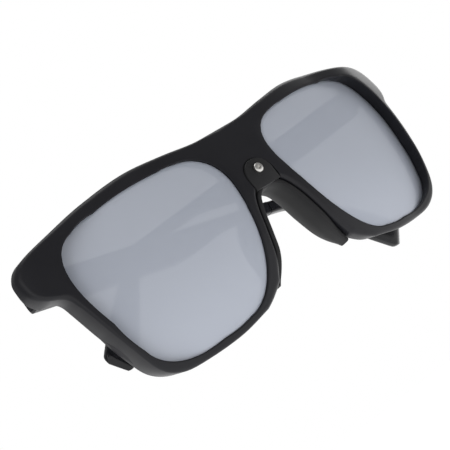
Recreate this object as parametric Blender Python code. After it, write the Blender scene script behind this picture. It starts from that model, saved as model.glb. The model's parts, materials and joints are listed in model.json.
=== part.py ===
"""Folding square sunglasses: one-piece moulded front, two curved lenses, a screwed
rubber nose piece, and two arms on three-knuckle screw hinges, stored folded.

Run with: blender --background --python part.py
+X is the wearer's left, +Y runs back towards the ears, +Z is up. Dimensions are in
millimetres and become metres when a mesh is written.
"""
import math

import bmesh
import bpy
from mathutils import Matrix, Vector

MM = 0.001
DATUM = (0.0, 12.676, -26.312)   # middle of the folded depth, underside of the rims

# Lens and eye curve
LENS_X = 35.5            # lens centre from the middle of the bridge
LENS_CURVE = 84.6        # radius of the lens sphere
LENS_WRAP = 13.69        # degrees each lens is turned towards the temple
LENS_THICK = 1.8
LENS_SINK = 0.75         # how far the lens edge sits inside its groove
GROOVE_DEEP = 1.05
SEAT_GAP = 0.3           # clearance between pieces that touch on the real object

# Eye opening: corner x, corner z, share of the side used before and after the corner
EYE_CORNERS = [(66.9, 19.0, 0.54, 0.42), (37.5, 23.8, 0.28, 0.40), (6.2, 20.2, 0.43, 0.34),
               (16.0, -21.5, 0.54, 0.32), (55.8, -24.1, 0.45, 0.23)]

# Front outline, half: from the top of the bridge round the end piece to the saddle
FRONT_EDGE = [(0.0, 24.3), (8.9, 24.4), (20.2, 25.9), (32.5, 27.2), (45.8, 26.5), (58.0, 24.5),
              (67.1, 22.7), (70.8, 19.8), (71.5, 16.3), (71.1, 13.1), (69.2, 10.6), (65.8, 7.9),
              (64.5, 3.9), (62.8, -4.1), (60.6, -12.3), (57.4, -20.0), (52.0, -23.8),
              (43.6, -24.9), (32.9, -24.9), (22.8, -23.3), (15.4, -19.2), (12.0, -13.6),
              (9.9, -7.2), (7.9, -1.2), (5.6, 3.0), (2.6, 5.2), (0.0, 5.6)]
FRONT_LIP = 1.5          # rim in front of the lens centre surface
FRONT_BACK = 2.6         # rim behind the lens centre surface
SIDE_LIP = 3.75          # how much further the rim stands forward at the temples
SIDE_FROM = (42.0, 62.0)   # where that begins and where it is complete
BRIDGE_FILL = 0.6        # share of the bridge hollow filled from behind
BACK_DRAFT = 2.4         # how far the outer rim wall leans in towards its back
EDGE_ROUND = 1.3         # rounding of the outer front edge
EDGE_BREAK = 0.4         # small broken edges

# Hinge: the axis point, the seat of its front leaf and the lug the arm closes on
AXIS_X = 66.0
AXIS_Y = 17.5
AXIS_Z = 15.8
SEAT_BACK = 2.9          # seat of the front leaf in front of the axis
LUG_BACK = -0.8          # back face of the lug behind the axis
LUG_INNER = 2.5          # inner wall of the lug outside the axis
SEAT_INNER = 2.5         # inner edge of the seat inside the axis
LUG_TAPER = 0.0          # how far the end piece narrows towards its back
LUG_WALL = 0.9           # least thickness of the lug outside the seat
LUG_LOW = 10.2
LUG_HIGH = 23.5
AXIS_CANT = 2.7          # degrees the folded arms lie out of level
KNUCKLE_R = 1.6
KNUCKLE_MID = 2.1        # height of the arm's middle knuckle
KNUCKLE_ALL = 6.5
KNUCKLE_GAP = 0.12
LEAF_THICK = 0.8
LEAF_GAP = 0.15          # leaf to the plastic it is screwed to
FRONT_LEAF_W = 3.1
FRONT_LEAF_H = 10.6
FRONT_SCREW_Z = 4.3
ARM_LEAF_START = 2.1
ARM_LEAF_END = 11.6
ARM_LEAF_H = 5.8
ARM_SCREWS = (4.6, 9.4)
PIN_R = 0.6
PIN_GAP = 0.1
PIN_HEAD_R = 1.25
PIN_HEAD_H = 0.7
FIX_R = 0.5
FIX_HEAD_R = 0.95
FIX_HEAD_H = 0.5
FIX_LONG = 2.4
FIX_GAP = 0.1

# Arms, measured along the arm from the hinge axis
ARM_IN = 2.0             # inner face outside the axis
ARM_START = -0.5
ARM_THICK = 4.0
ARM_HIGH = 8.6
ARM_DROOP = 7.0          # degrees the arm falls towards the ear
ARM_WAIST = (50.0, 76.0)
ARM_NECK_H = 3.6
ARM_NECK_T = 3.2
HOOK_START = 92.0
HOOK_END = 106.0
HOOK_ANGLE = 43.0
ARM_LENGTH = 136.0
TIP_JOIN = 89.5
TIP_HIGH = 8.6
TIP_FLARE = (98.0, 129.0)
TIP_IN = 2.5             # how far the tip curls towards the head
WIRE_R = 0.55
WIRE_GAP = 0.15
WIRE_START = 62.0
WIRE_END = 128.0
FOLD_RIGHT = 85.5        # degrees the outer arm is folded from open
FOLD_LEFT = 91.0         # degrees the inner arm is folded from open

# Nose piece
NOSE_THICK = 1.6
NOSE_EDGE_FROM = 20      # first front outline point that the nose piece follows
NOSE_STEPS = 4           # straight steps between those points
NOSE_FRONT = -3.3
NOSE_TAPER = 2.0         # how far the front edge draws back at the lower ends
NOSE_REAR = [4.8, 5.2, 6.0, 7.6, 8.6, 7.6, 5.0]
NOSE_SPLAY = [0.4, 0.6, 1.2, 2.2, 2.6, 2.0, 0.8]
TAB_W = 4.8              # half width of the screwed tab
TAB_TOP = 12.0
TAB_FRONT = -3.95
TAB_THICK = 1.4
NOSE_SCREW_Z = 8.8
NOSE_SCREW_R = 0.65
NOSE_HEAD_R = 1.4
NOSE_HEAD_H = 0.8
INSERT_R = 1.25
INSERT_LONG = 3.0

SIDES = {"right": -1, "left": 1}
ON_LINE = 0.01           # a point this near the middle plane lies on it
RAY_Z = 9.0              # height of the point that the front's sections radiate from
SLOPE = 0.12             # lean of the steep walls behind the end piece


# ---------------------------------------------------------------- curves
def smooth(value, low, high):
    """Ease from 0 at low to 1 at high."""
    t = min(1.0, max(0.0, (value - low) / (high - low)))
    return t * t * (3 - 2 * t)


def corner_curve(corners, steps=16):
    """A closed outline that rounds every corner with one curve."""
    points = []
    for i, (x, z, before, after) in enumerate(corners):
        here = Vector((x, z))
        start = here.lerp(Vector(corners[i - 1][:2]), before)
        end = here.lerp(Vector(corners[(i + 1) % len(corners)][:2]), after)
        pull_start = start.lerp(here, 0.62)
        pull_end = end.lerp(here, 0.62)
        for k in range(steps + 1):
            t = k / steps
            s = 1 - t
            points.append(start * s ** 3 + pull_start * 3 * s * s * t
                          + pull_end * 3 * s * t * t + end * t ** 3)
    return points


def through_curve(points, steps):
    """An open smooth curve that passes through every point."""
    rows = [Vector(p) for p in points]
    rows = [rows[0] * 2 - rows[1]] + rows + [rows[-1] * 2 - rows[-2]]
    out = []
    for a, b, c, d in zip(rows, rows[1:], rows[2:], rows[3:]):
        for k in range(steps):
            t = k / steps
            out.append(((b * 2) + (c - a) * t + (a * 2 - b * 5 + c * 4 - d) * t * t
                        + (b * 3 - a - c * 3 + d) * t ** 3) * 0.5)
    out.append(rows[-2])
    return out


def through_value(values, t):
    """Smooth value at 0 to 1 along an evenly spaced list."""
    place = t * (len(values) - 1)
    i = min(int(place), len(values) - 2)
    f = place - i
    a = values[max(0, i - 1)]
    b, c = values[i], values[i + 1]
    d = values[min(len(values) - 1, i + 2)]
    return 0.5 * (2 * b + (c - a) * f + (2 * a - 5 * b + 4 * c - d) * f * f
                  + (3 * b - a - 3 * c + d) * f ** 3)


def polar(points, centre):
    """Angle and distance of outline points from a centre, in order of angle."""
    rows = sorted((math.atan2(p[1] - centre[1], p[0] - centre[0]),
                   math.hypot(p[0] - centre[0], p[1] - centre[1])) for p in points)
    turn = 2 * math.pi
    return [(rows[-1][0] - turn, rows[-1][1])] + rows + [(rows[0][0] + turn, rows[0][1])]


def reach(table, angle):
    """Distance to an outline along a ray."""
    angle = math.atan2(math.sin(angle), math.cos(angle))
    for (a0, r0), (a1, r1) in zip(table, table[1:]):
        if a0 <= angle <= a1:
            return r0 if a1 - a0 < 1e-9 else r0 + (r1 - r0) * (angle - a0) / (a1 - a0)
    return table[-1][1]


# ---------------------------------------------------------------- surfaces of the front
def lens_y(x, z):
    """Middle surface of the lens."""
    u = abs(x) - LENS_X
    return math.tan(math.radians(LENS_WRAP)) * u + (u * u + z * z) / (2 * LENS_CURVE)


def rim_y(x, z):
    """The same surface with the hollow at the bridge bridged straight across."""
    slope = math.tan(math.radians(LENS_WRAP))
    u = max(abs(x) - LENS_X, -slope * LENS_CURVE)
    return slope * u + (u * u + z * z) / (2 * LENS_CURVE)


def front_y(x, z):
    return rim_y(x, z) - FRONT_LIP - SIDE_LIP * smooth(abs(x), *SIDE_FROM)


def back_y(x, z):
    return rim_y(x, z) + FRONT_BACK + BRIDGE_FILL * (lens_y(x, z) - rim_y(x, z))


# ---------------------------------------------------------------- meshes
def finish(name, bm, material, parent=None, side=1):
    """Write a bmesh given in millimetres to one object."""
    bmesh.ops.remove_doubles(bm, verts=bm.verts, dist=1e-5)
    for v in bm.verts:
        v.co.x *= side
    bmesh.ops.recalc_face_normals(bm, faces=bm.faces)
    if bm.calc_volume(signed=True) < 0:
        bmesh.ops.reverse_faces(bm, faces=bm.faces)
    if parent is None:
        bmesh.ops.translate(bm, verts=bm.verts, vec=-Vector(DATUM))
    bmesh.ops.scale(bm, vec=(MM, MM, MM), verts=bm.verts)
    mesh = bpy.data.meshes.new(name)
    bm.to_mesh(mesh)
    bm.free()
    mesh.materials.append(material)
    obj = bpy.data.objects.new(name, mesh)
    bpy.context.collection.objects.link(obj)
    if parent is not None:
        obj.parent = parent
    return obj


def skin(bm, rings, close_rings=False, cap=True):
    """Quads between equal rings of points, each ring closed on itself."""
    rows = [[bm.verts.new(p) for p in ring] for ring in rings]
    count = len(rows[0])
    pairs = list(zip(rows, rows[1:]))
    if close_rings:
        pairs.append((rows[-1], rows[0]))
    for a, b in pairs:
        for i in range(count):
            j = (i + 1) % count
            bm.faces.new((a[i], a[j], b[j], b[i]))
    if cap and not close_rings:
        bm.faces.new(rows[0][::-1])
        bm.faces.new(rows[-1])
    return rows


def circle(radius, steps, height, centre=(0.0, 0.0)):
    """A ring about the Z axis."""
    return [Vector((centre[0] + radius * math.cos(2 * math.pi * k / steps),
                    centre[1] + radius * math.sin(2 * math.pi * k / steps), height))
            for k in range(steps)]


def turned(bm, profile, steps=20):
    """A solid of revolution about Z from (radius, height) pairs, closed at both ends."""
    skin(bm, [circle(r, steps, h) for r, h in profile])


def box(bm, low, high):
    x0, y0, z0 = low
    x1, y1, z1 = high
    skin(bm, [[Vector((x0, y0, z)), Vector((x1, y0, z)), Vector((x1, y1, z)), Vector((x0, y1, z))]
              for z in (z0, z1)])


def boolean(obj, tool, operation):
    """Keep an exact Boolean on obj; the tool stays as a hidden wire object."""
    tool.hide_render = True
    tool.hide_viewport = True
    tool.display_type = "WIRE"
    mod = obj.modifiers.new(operation.lower() + "_" + tool.name, "BOOLEAN")
    mod.operation = operation
    mod.solver = "EXACT"
    mod.object = tool


def tool_object(name, bm, parent=None, side=1):
    return finish(name, bm, MATERIALS["steel"], parent, side=side)


def make_material(name, colour, roughness, metallic, alpha=1.0):
    mat = bpy.data.materials.new(name)
    mat.use_nodes = True
    node = mat.node_tree.nodes["Principled BSDF"]
    node.inputs["Base Color"].default_value = (*colour, 1.0)
    node.inputs["Roughness"].default_value = roughness
    node.inputs["Metallic"].default_value = metallic
    node.inputs["Alpha"].default_value = alpha
    return mat


# ---------------------------------------------------------------- front frame
def front_column(angle, eye, edge):
    """One cross-section of the front, along a ray from the ray centre."""
    cos, sin = math.cos(angle), math.sin(angle)
    inner = reach(eye, angle)
    outer = reach(edge, angle)
    width = outer - inner
    rounding = min(EDGE_ROUND, 0.38 * width)
    draft = min(BACK_DRAFT * smooth(LENS_X + outer * cos, 18.0, 30.0), 0.44 * width)
    top, saddle = FRONT_EDGE[0][1], FRONT_EDGE[-1][1]

    def at(r):
        return LENS_X + r * cos, RAY_Z + r * sin

    def place(r, y):
        x, z = at(r)
        return Vector((x, y, z))

    def on(surface, r, drop=0.0):
        return place(r, surface(*at(r)) + drop)

    tip_x, tip_z = at(outer)
    on_middle = abs(tip_x) < ON_LINE
    at_end = on_middle and min(abs(tip_z - top), abs(tip_z - saddle)) < ON_LINE

    def edge_point(step_in, drop, surface):
        """A point near the outer edge, moved in from it unless it lies on the middle."""
        if at_end:
            z = tip_z - math.copysign(step_in, tip_z - 0.5 * (top + saddle))
            return Vector((0.0, surface(0.0, z) + drop, z))
        if on_middle:
            return Vector((0.0, surface(0.0, tip_z) + drop, tip_z))
        return on(surface, outer - step_in, drop)

    loop = [on(front_y, inner, EDGE_BREAK), on(front_y, inner + EDGE_BREAK),
            on(front_y, inner + 0.5 * (width + EDGE_BREAK - rounding)),
            edge_point(rounding, 0.0, front_y),
            edge_point(0.3 * rounding, 0.3 * rounding, front_y),
            edge_point(0.0, rounding, front_y)]
    if lug_angles()[0] - 1e-6 <= angle <= lug_angles()[1] + 1e-6:
        # Full depth outside the lug's inner wall, a flat seat for the leaf inside it.
        rear = outer - LUG_TAPER
        wall = min((AXIS_X + LUG_INNER - LENS_X) / cos, rear - LUG_WALL)
        seat = (AXIS_X - SEAT_INNER - LENS_X) / cos
        lug_y = AXIS_Y + LUG_BACK
        seat_y = AXIS_Y - SEAT_BACK
        loop += [place(rear, lug_y - EDGE_BREAK), place(rear - EDGE_BREAK, lug_y),
                 place(wall + SLOPE, lug_y), place(wall, seat_y), place(seat, seat_y),
                 on(back_y, seat - SLOPE)]
    else:
        loop += [edge_point(draft, -EDGE_BREAK, back_y),
                 edge_point(draft + EDGE_BREAK, 0.0, back_y)]
        flat = width - draft - 2 * EDGE_BREAK
        loop += [on(back_y, inner + EDGE_BREAK + share * flat) for share in (0.8, 0.6, 0.4, 0.2)]
    half = LENS_THICK / 2 + SEAT_GAP
    deep = inner + GROOVE_DEEP
    loop += [on(back_y, inner + EDGE_BREAK), on(back_y, inner, -EDGE_BREAK),
             on(lens_y, inner, half), on(lens_y, deep, half),
             on(lens_y, deep, -half), on(lens_y, inner, -half)]
    return loop


def lug_angles():
    """First and last ray that cross the lug."""
    wall = AXIS_X + LUG_INNER - LENS_X
    return [math.atan2(z - RAY_Z, wall) for z in (LUG_LOW, LUG_HIGH)]


def column_angles():
    """Even rays, with exact ones at the middle, round the lug and along the nose."""
    steps = 84
    top, saddle = FRONT_EDGE[0][1], FRONT_EDGE[-1][1]
    ends = [math.atan2(top - RAY_Z, -LENS_X), math.atan2(saddle - RAY_Z, -LENS_X)]
    nose = [math.atan2(p.y - RAY_Z, p.x - LENS_X)
            for p in through_curve(FRONT_EDGE[NOSE_EDGE_FROM:], NOSE_STEPS)[:-1]]
    low, high = lug_angles()
    exact = ends + nose + [low - SLOPE / 10, low, high, high + SLOPE / 10]
    clear = 1.5 * EDGE_ROUND / LENS_X
    angles = []
    for k in range(steps):
        a = 2 * math.pi * k / steps - math.pi
        beside_end = min(abs(a - e) for e in ends) < clear
        if not (ends[1] <= a <= nose[0] or beside_end or min(abs(a - e) for e in exact) < 0.02):
            angles.append(a)
    return sorted(angles + exact)


def front_frame():
    centre = (LENS_X, RAY_Z)
    eye = polar(corner_curve(EYE_CORNERS), centre)
    line = through_curve(FRONT_EDGE[:NOSE_EDGE_FROM], 8)
    line += through_curve(FRONT_EDGE[NOSE_EDGE_FROM:], NOSE_STEPS)
    top, saddle = FRONT_EDGE[0][1], FRONT_EDGE[-1][1]
    line += [Vector((0.0, saddle + (top - saddle) * k / 40)) for k in range(1, 40)]
    edge = polar(line, centre)
    bm = bmesh.new()
    skin(bm, [front_column(a, eye, edge) for a in column_angles()], close_rings=True)
    middle = [f for f in bm.faces if all(abs(v.co.x) < 1e-4 for v in f.verts)]
    bmesh.ops.delete(bm, geom=middle, context="FACES")
    for v in bm.verts:
        if abs(v.co.x) < 1e-4:
            v.co.x = 0.0
    geom = bm.verts[:] + bm.edges[:] + bm.faces[:]
    twin = bmesh.ops.duplicate(bm, geom=geom)["geom"]
    for v in [g for g in twin if isinstance(g, bmesh.types.BMVert)]:
        v.co.x = -v.co.x
    bmesh.ops.remove_doubles(bm, verts=bm.verts, dist=1e-4)
    loose = [v for v in bm.verts if not v.link_faces]
    bmesh.ops.delete(bm, geom=loose, context="VERTS")
    obj = finish("front_frame", bm, MATERIALS["frame"])
    boolean(obj, tab_solid("cut_tab_recess", SEAT_GAP), "DIFFERENCE")
    boolean(obj, rod_along_y("cut_nose_insert", INSERT_R + PIN_GAP, TAB_FRONT,
                             TAB_FRONT + TAB_THICK + SEAT_GAP + INSERT_LONG + 0.2), "DIFFERENCE")
    for name, side in SIDES.items():
        for k, z in enumerate((-FRONT_SCREW_Z, FRONT_SCREW_Z)):
            tool = rod_in_hinge("cut_front_%s_%d" % (name, k), name, side, z)
            boolean(obj, tool, "DIFFERENCE")
    return obj


def rod_along_y(name, radius, y0, y1):
    bm = bmesh.new()
    ring = [(radius * math.cos(2 * math.pi * k / 24), radius * math.sin(2 * math.pi * k / 24))
            for k in range(24)]
    skin(bm, [[Vector((x, y, NOSE_SCREW_Z + z)) for x, z in ring] for y in (y0, y1)])
    return tool_object(name, bm)


def rod_in_hinge(name, side_name, side, z):
    """Blind hole for a screw that holds the front leaf."""
    bm = bmesh.new()
    r = FIX_R + FIX_GAP
    ring = [(r * math.cos(2 * math.pi * k / 12), r * math.sin(2 * math.pi * k / 12))
            for k in range(12)]
    y0 = -SEAT_BACK - FIX_LONG + LEAF_THICK + LEAF_GAP - 0.2
    skin(bm, [[Vector((x, y, z + dz)) for x, dz in ring] for y in (y0, 0.0)])
    return tool_object(name, bm, HINGES[side_name], side)


def tab_solid(name, grow):
    """The screwed front tab of the nose piece, or its recess when grown."""
    half = TAB_W + grow
    top = TAB_TOP + grow
    low = FRONT_EDGE[-1][1] - SEAT_GAP - NOSE_THICK
    outline = [(-half, low - grow * 4), (-half, top - half)]
    for k in range(1, 12):
        a = math.pi - math.pi * k / 12
        outline.append((half * math.cos(a), top - half + half * math.sin(a)))
    outline += [(half, top - half), (half, low - grow * 4)]
    front = TAB_FRONT - (2.0 if grow else 0.0)
    bm = bmesh.new()
    skin(bm, [[Vector((x, y, z)) for x, z in outline]
              for y in (front, TAB_FRONT + TAB_THICK + grow)])
    return tool_object(name, bm)


# ---------------------------------------------------------------- lenses
def lens(side_name, side):
    eye = polar(corner_curve(EYE_CORNERS), (LENS_X, 0.0))
    steps = 60
    shares = (0.25, 0.55, 0.8, 1.0)
    bm = bmesh.new()
    faces_y = (-LENS_THICK / 2, LENS_THICK / 2)
    layers = []
    for dy in faces_y:
        rings = []
        for share in shares:
            ring = []
            for k in range(steps):
                a = 2 * math.pi * k / steps
                r = share * (reach(eye, a) + LENS_SINK)
                x, z = LENS_X + r * math.cos(a), r * math.sin(a)
                ring.append(Vector((x, lens_y(x, z) + dy, z)))
            rings.append(ring)
        layers.append(rings)
    rows = skin(bm, layers[0] + layers[1][::-1], cap=False)
    for row, dy in ((rows[0], faces_y[0]), (rows[-1], faces_y[1])):
        middle = bm.verts.new(Vector((LENS_X, lens_y(LENS_X, 0.0) + dy, 0.0)))
        for k in range(steps):
            bm.faces.new((row[k], row[(k + 1) % steps], middle))
    return finish("lens_" + side_name, bm, MATERIALS["lens"], side=side)


# ---------------------------------------------------------------- nose piece
def nose_line():
    """Middle of the sheet in front view, from the saddle down one side of the nose."""
    edge = through_curve(FRONT_EDGE[NOSE_EDGE_FROM:], NOSE_STEPS)[::-1]
    offset = SEAT_GAP + NOSE_THICK / 2
    line = []
    for i, p in enumerate(edge):
        before = edge[i - 1] if i else Vector((-edge[1].x, edge[1].y))
        after = edge[min(i + 1, len(edge) - 1)]
        along = (after - before).normalized()
        line.append(p + Vector((along.y, -along.x)) * offset)
    line[0].x = 0.0
    return line


def nose_piece():
    """A rubber sheet that wraps the saddle and splays into two pads, with a front tab."""
    half = nose_line()
    path = [Vector((-p.x, p.y)) for p in half[:0:-1]] + half
    count = len(path)
    rings = []
    for i, p in enumerate(path):
        before, after = path[max(0, i - 1)], path[min(count - 1, i + 1)]
        along = (after - before).normalized()
        out = Vector((-along.y, along.x))
        t = abs(2 * i / (count - 1) - 1)
        rear = through_value(NOSE_REAR, t)
        splay = through_value(NOSE_SPLAY, t)
        shrink = 1.0 - 0.35 * smooth(t, 0.9, 1.0)
        front = NOSE_FRONT + front_y(p.x, p.y) - front_y(0.0, 0.0)
        front += NOSE_TAPER * smooth(t, 0.75, 1.0)
        clear = back_y(p.x, p.y) + SEAT_GAP + 0.9
        spine = [(0.0, front), (0.0, 0.5 * (front + clear)), (0.0, clear)]
        for k in (0.35, 0.7, 1.0):
            y = clear + (max(rear, clear + 0.8) - clear) * k
            spine.append((splay * k ** 1.6, y))
        ring_out, ring_in = [], []
        for j, (o, y) in enumerate(spine):
            a = Vector(spine[max(0, j - 1)])
            b = Vector(spine[min(len(spine) - 1, j + 1)])
            d = (b - a).normalized()
            n = Vector((d.y, -d.x))
            w = NOSE_THICK / 2 * shrink * (0.55 if j in (0, len(spine) - 1) else 1.0)
            ring_out.append((o + n.x * w, y + n.y * w))
            ring_in.append((o - n.x * w, y - n.y * w))
        ring = ring_out + ring_in[::-1]
        rings.append([Vector((p.x + out.x * o, y, p.y + out.y * o)) for o, y in ring])
    bm = bmesh.new()
    skin(bm, rings)
    obj = finish("nose_piece", bm, MATERIALS["rubber"])
    boolean(obj, tab_solid("join_tab", 0.0), "UNION")
    boolean(obj, rod_along_y("cut_tab_hole", NOSE_SCREW_R + PIN_GAP, TAB_FRONT - 1.0,
                             TAB_FRONT + TAB_THICK + 1.0), "DIFFERENCE")
    return obj


def nose_fixings():
    """A socket-headed screw and the threaded brass insert behind it."""
    head = TAB_FRONT - 0.1
    bm = bmesh.new()
    profile = [(0.55, head - NOSE_HEAD_H + 0.5), (0.55, head - NOSE_HEAD_H),
               (NOSE_HEAD_R - 0.25, head - NOSE_HEAD_H), (NOSE_HEAD_R, head - NOSE_HEAD_H + 0.3),
               (NOSE_HEAD_R, head), (NOSE_SCREW_R, head), (NOSE_SCREW_R, head + 3.6)]
    turned(bm, profile, 28)
    bmesh.ops.transform(bm, verts=bm.verts, matrix=Matrix.Rotation(math.radians(-90), 4, "X"))
    bmesh.ops.translate(bm, verts=bm.verts, vec=(0.0, 0.0, NOSE_SCREW_Z))
    finish("nose_screw", bm, MATERIALS["steel"])

    start = TAB_FRONT + TAB_THICK + SEAT_GAP + 0.1
    bm = bmesh.new()
    bore = NOSE_SCREW_R + PIN_GAP
    profile = [(INSERT_R, start), (INSERT_R, start + INSERT_LONG), (bore, start + INSERT_LONG),
               (bore, start)]
    skin(bm, [circle(r, 28, h) for r, h in profile], close_rings=True)
    bmesh.ops.transform(bm, verts=bm.verts, matrix=Matrix.Rotation(math.radians(-90), 4, "X"))
    bmesh.ops.translate(bm, verts=bm.verts, vec=(0.0, 0.0, NOSE_SCREW_Z))
    finish("nose_screw_insert", bm, MATERIALS["brass"])


# ---------------------------------------------------------------- hinges
def knuckle(bm, low, high):
    """A bored barrel section about the hinge axis."""
    bore = PIN_R + PIN_GAP
    profile = [(KNUCKLE_R, low), (KNUCKLE_R, high), (bore, high), (bore, low)]
    skin(bm, [circle(r, 24, h) for r, h in profile], close_rings=True)


def front_leaf(side_name, side, hinge):
    """Plate on the seat with an upper and a lower knuckle."""
    inner = KNUCKLE_MID / 2 + KNUCKLE_GAP
    outer = KNUCKLE_ALL / 2
    plate_back = -SEAT_BACK + LEAF_GAP + LEAF_THICK
    bm = bmesh.new()
    box(bm, (-FRONT_LEAF_W / 2, -SEAT_BACK + LEAF_GAP, -FRONT_LEAF_H / 2),
        (FRONT_LEAF_W / 2, plate_back, FRONT_LEAF_H / 2))
    obj = finish("hinge_front_leaf_" + side_name, bm, MATERIALS["steel"], hinge, side=side)
    for k, (low, high) in enumerate(((-outer, -inner), (inner, outer))):
        bm = bmesh.new()
        box(bm, (-1.2, plate_back - 0.3, low), (1.2, -0.95, high))
        boolean(obj, tool_object("join_web_%s_%d" % (side_name, k), bm, hinge, side), "UNION")
        bm = bmesh.new()
        knuckle(bm, low, high)
        boolean(obj, tool_object("join_knuckle_%s_%d" % (side_name, k), bm, hinge, side), "UNION")
    for k, z in enumerate((-FRONT_SCREW_Z, FRONT_SCREW_Z)):
        bm = bmesh.new()
        turned(bm, [(FIX_R + FIX_GAP, -4.0), (FIX_R + FIX_GAP, -1.0)], 16)
        bmesh.ops.transform(bm, verts=bm.verts, matrix=Matrix.Rotation(math.radians(-90), 4, "X"))
        bmesh.ops.translate(bm, verts=bm.verts, vec=(0.0, 0.0, z))
        boolean(obj, tool_object("cut_leaf_%s_%d" % (side_name, k), bm, hinge, side), "DIFFERENCE")
        fixing_screw("front_leaf_screw_%s_%s" % (side_name, ("lower", "upper")[k]), hinge, side,
                     Vector((0.0, plate_back, z)), Vector((0, -1, 0)))
    return obj


def fixing_screw(name, parent, side, seat, along):
    """Small round-headed screw whose head sits on seat and whose shank runs along."""
    bm = bmesh.new()
    profile = [(0.3, -0.1 - FIX_HEAD_H), (FIX_HEAD_R * 0.8, -0.1 - FIX_HEAD_H),
               (FIX_HEAD_R, -0.1 - FIX_HEAD_H * 0.5), (FIX_HEAD_R, -0.1), (FIX_R, -0.1),
               (FIX_R, FIX_LONG - 0.3), (FIX_R * 0.5, FIX_LONG)]
    turned(bm, profile, 16)
    turn = Vector((0, 0, 1)).rotation_difference(along).to_matrix().to_4x4()
    bmesh.ops.transform(bm, verts=bm.verts, matrix=Matrix.Translation(seat) @ turn)
    finish(name, bm, MATERIALS["steel"], parent, side=side)


def arm_leaf(side_name, side, arm):
    """Plate on the arm's inner face with the middle knuckle."""
    half = KNUCKLE_MID / 2
    plate = (ARM_IN - LEAF_GAP - LEAF_THICK, ARM_IN - LEAF_GAP)
    bm = bmesh.new()
    box(bm, (plate[0], ARM_LEAF_START, -ARM_LEAF_H / 2), (plate[1], ARM_LEAF_END, ARM_LEAF_H / 2))
    obj = finish("hinge_arm_leaf_" + side_name, bm, MATERIALS["steel"], arm, side=side)
    bm = bmesh.new()
    box(bm, (0.9, 0.2, -half), (plate[1] - 0.05, ARM_LEAF_START + 0.6, half))
    boolean(obj, tool_object("join_tongue_" + side_name, bm, arm, side), "UNION")
    bm = bmesh.new()
    knuckle(bm, -half, half)
    boolean(obj, tool_object("join_middle_" + side_name, bm, arm, side), "UNION")
    for k, s in enumerate(ARM_SCREWS):
        bm = bmesh.new()
        turned(bm, [(FIX_R + FIX_GAP, 0.0), (FIX_R + FIX_GAP, 3.0)], 16)
        bmesh.ops.transform(bm, verts=bm.verts, matrix=Matrix.Rotation(math.radians(90), 4, "Y"))
        bmesh.ops.translate(bm, verts=bm.verts, vec=(0.0, s, 0.0))
        boolean(obj, tool_object("cut_arm_leaf_%s_%d" % (side_name, k), bm, arm, side), "DIFFERENCE")
        fixing_screw("arm_leaf_screw_%s_%s" % (side_name, ("front", "rear")[k]), arm, side,
                     Vector((plate[0], s, 0.0)), Vector((1, 0, 0)))
    return obj


def hinge_screw(side_name, side, hinge):
    top = KNUCKLE_ALL / 2 + 0.1
    bm = bmesh.new()
    profile = [(0.3, top + PIN_HEAD_H), (PIN_HEAD_R * 0.85, top + PIN_HEAD_H),
               (PIN_HEAD_R, top + PIN_HEAD_H * 0.6), (PIN_HEAD_R, top), (PIN_R, top),
               (PIN_R, -KNUCKLE_ALL / 2 + 0.2), (PIN_R * 0.6, -KNUCKLE_ALL / 2)]
    turned(bm, profile[::-1], 20)
    return finish("hinge_screw_" + side_name, bm, MATERIALS["steel"], hinge, side=side)


# ---------------------------------------------------------------- arms
def arm_path():
    """Upper edge of the arm: distance, back, up and fall angle, one row a millimetre."""
    rows = []
    y, z = ARM_START, ARM_HIGH / 2
    s = ARM_START
    while s <= ARM_LENGTH + 1.0:
        fall = ARM_DROOP + (HOOK_ANGLE - ARM_DROOP) * smooth(s, HOOK_START, HOOK_END)
        rows.append((s, y, z, math.radians(fall)))
        y += math.cos(math.radians(fall))
        z -= math.sin(math.radians(fall))
        s += 1.0
    return rows


def arm_height(s):
    waist = ARM_HIGH + (ARM_NECK_H - ARM_HIGH) * smooth(s, *ARM_WAIST)
    return waist + (TIP_HIGH - ARM_NECK_H) * smooth(s, *TIP_FLARE)


def arm_thick(s):
    return ARM_THICK + (ARM_NECK_T - ARM_THICK) * smooth(s, 20.0, ARM_WAIST[1])


def arm_section(path, s, shrink=0.0, power=6.0, points=18, radius=None):
    """Ring of points round the arm at distance s; radius gives a round bore instead."""
    place = min(s - ARM_START, len(path) - 1.001)
    i, part = int(place), place % 1.0
    y, z, fall = [a + (b - a) * part for a, b in zip(path[i][1:], path[i + 1][1:])]
    high, thick = arm_height(s), arm_thick(s)
    flare = (TIP_HIGH - ARM_NECK_H) * smooth(s, *TIP_FLARE)
    lean = fall * smooth(s, ARM_START, 20.0)
    down = Vector((0.0, -math.sin(lean), -math.cos(lean)))
    curl = -TIP_IN * smooth(s, HOOK_START, ARM_LENGTH)
    middle = Vector((ARM_IN + thick / 2 + curl, y, z)) + down * (high / 2 - flare / 2)
    ring = []
    for k in range(points):
        a = 2 * math.pi * (k + 0.5) / points
        cos, sin = math.cos(a), math.sin(a)
        if radius is None:
            fold = 2.0 / power
            u = math.copysign(abs(cos) ** fold, cos) * (thick / 2 - shrink)
            v = math.copysign(abs(sin) ** fold, sin) * (high / 2 - shrink)
        else:
            u, v = radius * cos, radius * sin
        ring.append(middle + Vector((u, 0.0, 0.0)) - down * v)
    return ring


def spread(start, end, step):
    count = max(2, int(round((end - start) / step)))
    return [start + (end - start) * k / count for k in range(count + 1)]


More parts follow.
